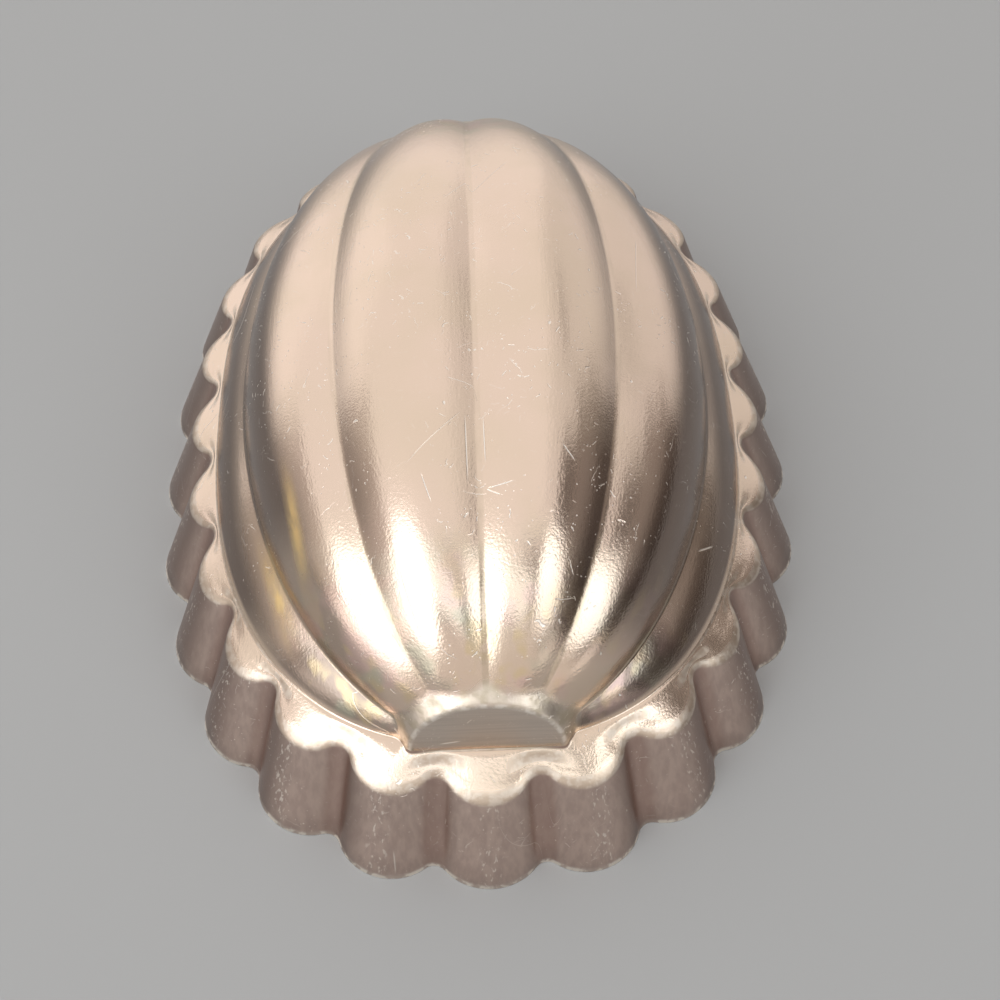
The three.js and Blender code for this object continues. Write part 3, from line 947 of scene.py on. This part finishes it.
def sheet_metal(name, colours, roughness):
    """Polished sheet with patchy colour, polishing lines, smudges, scratches and nicks."""
    nodes = Nodes(name)
    colour = nodes.mix(nodes.patches(*COLOUR_PATCHES), *colours)
    marks = wear(nodes)
    smudges = nodes.patches(*SMUDGE_PATCHES, *[roughness + more for more in SMUDGE_ROUGHNESS])
    waves = nodes.bump(nodes.noise(*WAVES), WAVE_DEPTH)
    lines_and_grain = nodes.math("ADD", nodes.noise(*POLISH_LINES), nodes.noise(*POLISH_GRAIN))
    polish = nodes.bump(lines_and_grain, POLISH_DEPTH, waves)
    surface = nodes.bump(nodes.math("SUBTRACT", 1.0, marks), MARK_DEPTH, polish)
    return nodes, colour, marks, smudges, surface


def finish_metal(nodes, colour, roughness, surface):
    nodes.feed(nodes.shader.inputs["Base Color"], colour)
    nodes.feed(nodes.shader.inputs["Roughness"], roughness)
    nodes.feed(nodes.shader.inputs["Normal"], surface)
    nodes.shader.inputs["Metallic"].default_value = 1
    return nodes.material


def painted_flank_shade(nodes, above_foot):
    """Painted shade on the steep flanks of the dome and the ends of its lowest lobes."""
    along = nodes.math("ABSOLUTE", nodes.y)
    low_lobe = nodes.carried("low_lobe")
    on_right = nodes.ramp(nodes.facing_right, *RIGHT_SIDE)
    slant = nodes.math("SUBTRACT", nodes.facing_up, nodes.product(on_right, RIGHT_STEEP_SHIFT))
    steep = nodes.product(nodes.ramp(slant, *STEEP_UP), above_foot)
    end_share = nodes.math("SUBTRACT", nodes.facing_end, nodes.product(on_right, RIGHT_END_SHIFT))
    on_low = nodes.ramp(nodes.facing_right, *RIGHT_SIDE, LEFT_LOW_LOBE_STRENGTH, 1.0)
    left_crease = nodes.ramp(nodes.facing_right, *LEFT_CREASE, 0.0, LEFT_CREASE_STRENGTH)
    sides = nodes.ramp(end_share, *FLANK_END)
    flank = nodes.product(steep, nodes.largest(sides, nodes.product(low_lobe, on_low), left_crease))
    low_end_shade = nodes.product(
        low_lobe,
        above_foot,
        nodes.ramp(along, *LOW_END_START),
        nodes.ramp(along, *LOW_END_STOP),
        nodes.ramp(nodes.facing_right, *RIGHT_SIDE, LEFT_LOW_END_STRENGTH, 1.0),
    )
    return nodes.largest(flank, low_end_shade)


def outside_metal():
    """Copper-toned anodised finish: polished dome, satin skirt and end faces, edges worn paler."""
    nodes, colour, marks, smudges, surface = sheet_metal(
        "anodised_aluminium", DOME_TONES, DOME_ROUGHNESS
    )
    along = nodes.math("ABSOLUTE", nodes.y)
    ledge = ledge_height * MILLIMETRE
    below_foot = nodes.ramp(nodes.z, *[ledge + height for height in BELOW_FOOT])
    above_foot = nodes.ramp(nodes.z, *[ledge + height for height in ABOVE_FOOT])
    on_skirt = nodes.product(below_foot, nodes.ramp(nodes.facing_up, *SKIRT_UP))
    on_face = nodes.product(nodes.ramp(nodes.facing_end, *FACE_END), above_foot)
    satin = nodes.largest(on_skirt, on_face)

    # Painted shade on the steep flanks, with painted yellow reflections as streaks on the left.
    flank = painted_flank_shade(nodes, above_foot)
    colour = nodes.mix(nodes.product(flank, FLANK_SHADE_STRENGTH), colour, FLANK_SHADE_TONE)
    yellow_reflections = nodes.largest(*[nodes.scratch(*ends, core=0.0) for ends in YELLOW_REFLECTIONS])
    yellow_reflections = nodes.product(yellow_reflections, nodes.patches(*STREAK_PATCHES, STREAK_LEAST, 1.0))
    colour = nodes.mix(yellow_reflections, colour, STREAK_REFLECTION_TONE)

    # Thin-film tints where the sheet was stretched most, at the two ends of the dome.
    at_ends = nodes.product(
        nodes.ramp(along, *TINTED_ENDS),
        above_foot,
        nodes.ramp(nodes.facing_right, *TINT_RIGHT, 1.0, RIGHT_TINT_STRENGTH),
    )
    for patches, strength, tone in END_TINTS:
        tint = nodes.patches(*patches, 0.0, strength)
        colour = nodes.mix(nodes.product(at_ends, tint), colour, tone)

    # Painted shade: darker walls of the bosses, and darker patches on them and in the grooves.
    boss = nodes.carried("boss")
    colour = nodes.mix(nodes.product(boss, BOSS_SHADE_STRENGTH), colour, BOSS_SHADE_TONE)
    boss_shade_patches = nodes.product(boss, nodes.patches(*BOSS_SHADE_PATCHES))
    groove_shade = nodes.product(
        nodes.carried("groove"),
        nodes.ramp(along, *GROOVE_SHADE_ENDS, GROOVE_SHADE_MIDDLE, 1.0),
        nodes.patches(*GROOVE_SHADE_PATCHES, GROOVE_SHADE_LEAST, 1.0),
    )
    crease_shade = nodes.largest(
        nodes.product(boss_shade_patches, BOSS_SHADE_PATCH_STRENGTH),
        nodes.product(groove_shade, GROOVE_SHADE_STRENGTH),
    )
    colour = nodes.mix(crease_shade, colour, CREASE_SHADE_TONE)

    # Satin skirt and end faces in painted shade; skirt redder in the notches, darker to the sides.
    crest = nodes.carried("crest")
    skirt_shade_tone = nodes.mix(nodes.patches(*SKIRT_GRAIN), *SKIRT_SHADE_TONES)
    side_shade = nodes.ramp(nodes.facing_end, *SKIRT_SIDES)
    skirt_shade_tone = nodes.mix(side_shade, skirt_shade_tone, SKIRT_SIDE_SHADE_TONE)
    notch_shade = nodes.ramp(crest, *NOTCHES, 0.0, NOTCH_SHADE_STRENGTH)
    skirt_shade_tone = nodes.mix(notch_shade, skirt_shade_tone, SKIRT_NOTCH_SHADE_TONE)
    colour = nodes.mix(on_skirt, colour, skirt_shade_tone)
    face_shade_tone = nodes.mix(nodes.patches(*FACE_BRUSHING), *FACE_SHADE_TONES)
    colour = nodes.mix(on_face, colour, face_shade_tone)

    # Duller roll of the ledge, and paler rubs on all edges and crests and in the marks.
    roll = nodes.product(
        below_foot,
        nodes.ramp(nodes.facing_up, *ROLL_START),
        nodes.ramp(nodes.facing_up, *ROLL_STOP),
    )
    colour = nodes.mix(nodes.product(roll, ROLL_STRENGTH), colour, ROLL_TONE)
    broken = nodes.patches(*WORN_EDGE_PATCHES)
    rim_wear = nodes.math("ADD", broken, RIM_WEAR_LEAST)
    face_edge_wear = nodes.math("ADD", broken, FACE_EDGE_WEAR_LEAST)
    crest_rubs = nodes.patches(*CREST_RUB_PATCHES)
    edges = nodes.largest(
        nodes.product(roll, broken, ROLL_RUB_STRENGTH),
        nodes.product(nodes.ramp(nodes.z, *RIM), rim_wear),
        nodes.product(nodes.carried("face_edge"), face_edge_wear, FACE_EDGE_STRENGTH),
    )
    pale = nodes.largest(
        nodes.product(marks, nodes.ramp(on_skirt, 0.0, 1.0, 1.0, SKIRT_MARK_STRENGTH)),
        edges,
        nodes.product(nodes.ramp(crest, *CRESTS), crest_rubs, on_skirt, CREST_RUB_STRENGTH),
    )
    colour = nodes.mix(pale, colour, WORN_TONE)

    duller = nodes.largest(
        nodes.product(satin, SATIN_ROUGHNESS - DOME_ROUGHNESS),
        nodes.product(yellow_reflections, STREAK_ROUGHNESS),
        nodes.product(boss, BOSS_ROUGHNESS),
        nodes.product(boss_shade_patches, BOSS_PATCH_ROUGHNESS),
        nodes.product(roll, ROLL_ROUGHNESS),
    )
    roughness = nodes.math("ADD", smudges, duller)
    roughness = nodes.math("ADD", roughness, nodes.product(pale, WORN_ROUGHNESS))
    return finish_metal(nodes, colour, roughness, surface)


def inside_metal():
    """Bare aluminium of the inside and the cut rim."""
    nodes, colour, marks, smudges, surface = sheet_metal(
        "bare_aluminium", INSIDE_TONES, INSIDE_ROUGHNESS
    )
    stains = nodes.patches(*INSIDE_STAIN_PATCHES, 0.0, INSIDE_STAIN_STRENGTH)
    colour = nodes.mix(stains, colour, INSIDE_STAIN_TONE)
    colour = nodes.mix(nodes.product(marks, INSIDE_MARK_STRENGTH), colour, INSIDE_WORN_TONE)
    roughness = nodes.math("ADD", smudges, nodes.product(marks, INSIDE_WORN_ROUGHNESS))
    return finish_metal(nodes, colour, roughness, surface)


mould = bpy.data.objects.new("mould_shell", mould_mesh())
bpy.context.scene.collection.objects.link(mould)
mould.data.materials.append(outside_metal())
mould.data.materials.append(inside_metal())
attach(mould, "root")
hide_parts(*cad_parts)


# Floor: plain, with painted light that makes it paler behind the mould.

FLOOR_HALF_SIZE = 2.0
FLOOR_COLOUR = (0.4, 0.396, 0.39)
FLOOR_PAINTED_LIGHT_COLOUR = (0.85, 0.84, 0.83)
FLOOR_PAINTED_LIGHT_SPAN = (0.12, 0.4)
FLOOR_ROUGHNESS = 0.9

floor_mesh = bpy.data.meshes.new("floor")
corner_signs = ((-1, -1), (1, -1), (1, 1), (-1, 1))
floor_corners = [(x * FLOOR_HALF_SIZE, y * FLOOR_HALF_SIZE, 0) for x, y in corner_signs]
floor_mesh.from_pydata(floor_corners, [], [(0, 1, 2, 3)])
floor = bpy.data.objects.new("floor", floor_mesh)
bpy.context.scene.collection.objects.link(floor)
floor_nodes = Nodes("floor")
painted_light_behind = floor_nodes.ramp(floor_nodes.y, *FLOOR_PAINTED_LIGHT_SPAN)
floor_colour = floor_nodes.mix(painted_light_behind, FLOOR_COLOUR, FLOOR_PAINTED_LIGHT_COLOUR)
floor_nodes.feed(floor_nodes.shader.inputs["Base Color"], floor_colour)
floor_nodes.shader.inputs["Roughness"].default_value = FLOOR_ROUGHNESS
floor_mesh.materials.append(floor_nodes.material)


# Light: soft panels and a dim world.

WHITE = (1.0, 1.0, 1.0)
WINDOW_COLOUR = (0.9, 0.96, 1.0)
FRONT_COLOUR = (1.0, 0.98, 0.96)
FILL_COLOUR = (1.0, 0.95, 0.92)
WORLD_COLOUR = (1.0, 0.84, 0.76, 1.0)
WORLD_STRENGTH = 0.12

# Panels of the ceiling: name, middle in x and y, size and brightness.
CEILING_HEIGHT = 1.2
CEILING_PANELS = (
    ("ceiling", (-0.7, 0.5), (2.4, 2.0), 0.82),
    ("ceiling_left", (-2.45, 1.22), (1.1, 0.56), 0.88),
    ("ceiling_middle", (0.7, 0.5), (0.4, 2.0), 0.66),
    ("ceiling_right", (1.7, 1.15), (1.4, 0.7), 0.62),
    ("ceiling_corner", (1.2, 0.5), (0.6, 0.55), 0.6),
)

# Upright panels behind the mould: name, middle in x, width and brightness.
BACK_DISTANCE = 1.5
BACK_HEIGHT = 0.61
BACK_PANEL_HEIGHT = 1.18
BACK_PANELS = (
    ("back_left", -2.2, 3.0, 0.92),
    ("back_middle", -0.1, 1.2, 0.84),
    ("back_right", 2.0, 3.0, 0.64),
)

# Panels in front and at the sides: name, place, target, size and brightness, then colour and shape.
MIDDLE = (0, 0, 0.03)
SIDE_PANELS = (
    ("left_window", (-0.77, -0.65, 0.71), MIDDLE, (0.95, 1.0), 2.15, WINDOW_COLOUR, "ELLIPSE"),
    ("left_sill", (-0.95, -0.74, 0.17), (0, 0, 0.17), (0.85, 0.28), 0.85),
    ("right_window", (0.74, -0.62, 0.74), MIDDLE, (0.58, 0.8), 2.25, WINDOW_COLOUR, "ELLIPSE"),
    ("right_sill", (0.86, -0.83, 0.17), (0, 0, 0.17), (0.34, 0.28), 0.85),
    ("front_window", (-0.21, -0.65, 1.01), MIDDLE, (1.2, 0.4), 1.45, WINDOW_COLOUR),
    ("front_fill", (0, -1.4, 0.68), (0, 0, 0.68), (2.2, 1.26), 0.58, FRONT_COLOUR),
    ("left_fill", (-1.6, -0.5, 0.52), (0, -0.5, 0.52), (1.0, 0.96), 0.47, FILL_COLOUR),
    ("left_back_fill", (-1.6, 0.3, 0.52), (0, 0.3, 0.52), (0.6, 0.96), 0.33, FILL_COLOUR),
    ("right_fill", (1.6, -0.1, 0.85), (0, -0.1, 0.85), (1.4, 0.7), 0.13, FILL_COLOUR),
)


def softbox(name, place, target, size, radiance, colour=WHITE, shape="RECTANGLE"):
    """A soft panel of even brightness, hidden from the camera."""
    data = bpy.data.lights.new(name, "AREA")
    data.shape = shape
    data.size, data.size_y = size
    area = size[0] * size[1] * (math.pi / 4 if shape == "ELLIPSE" else 1)
    data.energy = radiance * math.pi * area
    data.color = colour
    panel = bpy.data.objects.new(name, data)
    panel.location = place
    panel.rotation_mode = "QUATERNION"
    panel.rotation_quaternion = (Vector(target) - Vector(place)).to_track_quat("-Z", "Y")
    panel.visible_camera = False
    bpy.context.scene.collection.objects.link(panel)


for name, (x, y), size, radiance in CEILING_PANELS:
    softbox(name, (x, y, CEILING_HEIGHT), (x, y, 0), size, radiance)
for name, x, width, radiance in BACK_PANELS:
    place, target = (x, BACK_DISTANCE, BACK_HEIGHT), (x, 0, BACK_HEIGHT)
    softbox(name, place, target, (width, BACK_PANEL_HEIGHT), radiance)
for panel in SIDE_PANELS:
    softbox(*panel)
world = bpy.data.worlds.new("studio")
world.use_nodes = True
background = world.node_tree.nodes["Background"]
background.inputs["Color"].default_value = WORLD_COLOUR
background.inputs["Strength"].default_value = WORLD_STRENGTH
bpy.context.scene.world = world


# Camera, as fitted to the photo.

CAMERA_PLACE = (-0.001472, -0.139689, 0.191996)
CAMERA_YAW = 0.0349
CAMERA_PITCH = 0.9546
CAMERA_ROLL = 0.0024
FOCAL_PIXELS = 1604.27
IMAGE_PIXELS = 1000
SENSOR = 36.0
CLIP_START = 0.01

forward = Vector(
    (
        math.sin(CAMERA_YAW) * math.cos(CAMERA_PITCH),
        math.cos(CAMERA_YAW) * math.cos(CAMERA_PITCH),
        -math.sin(CAMERA_PITCH),
    )
)
level = Vector((math.cos(CAMERA_YAW), -math.sin(CAMERA_YAW), 0))
down = forward.cross(level)
right = level * math.cos(CAMERA_ROLL) + down * math.sin(CAMERA_ROLL)
up = level * math.sin(CAMERA_ROLL) - down * math.cos(CAMERA_ROLL)
camera_data = bpy.data.cameras.new("camera")
camera_data.sensor_width = SENSOR
camera_data.lens = FOCAL_PIXELS / IMAGE_PIXELS * SENSOR
camera_data.clip_start = CLIP_START
camera = bpy.data.objects.new("camera", camera_data)
turned = Matrix((right, up, -forward)).transposed().to_4x4()
camera.matrix_world = Matrix.Translation(CAMERA_PLACE) @ turned
bpy.context.scene.collection.objects.link(camera)
bpy.context.scene.camera = camera
bpy.context.scene.view_settings.view_transform = "Standard"
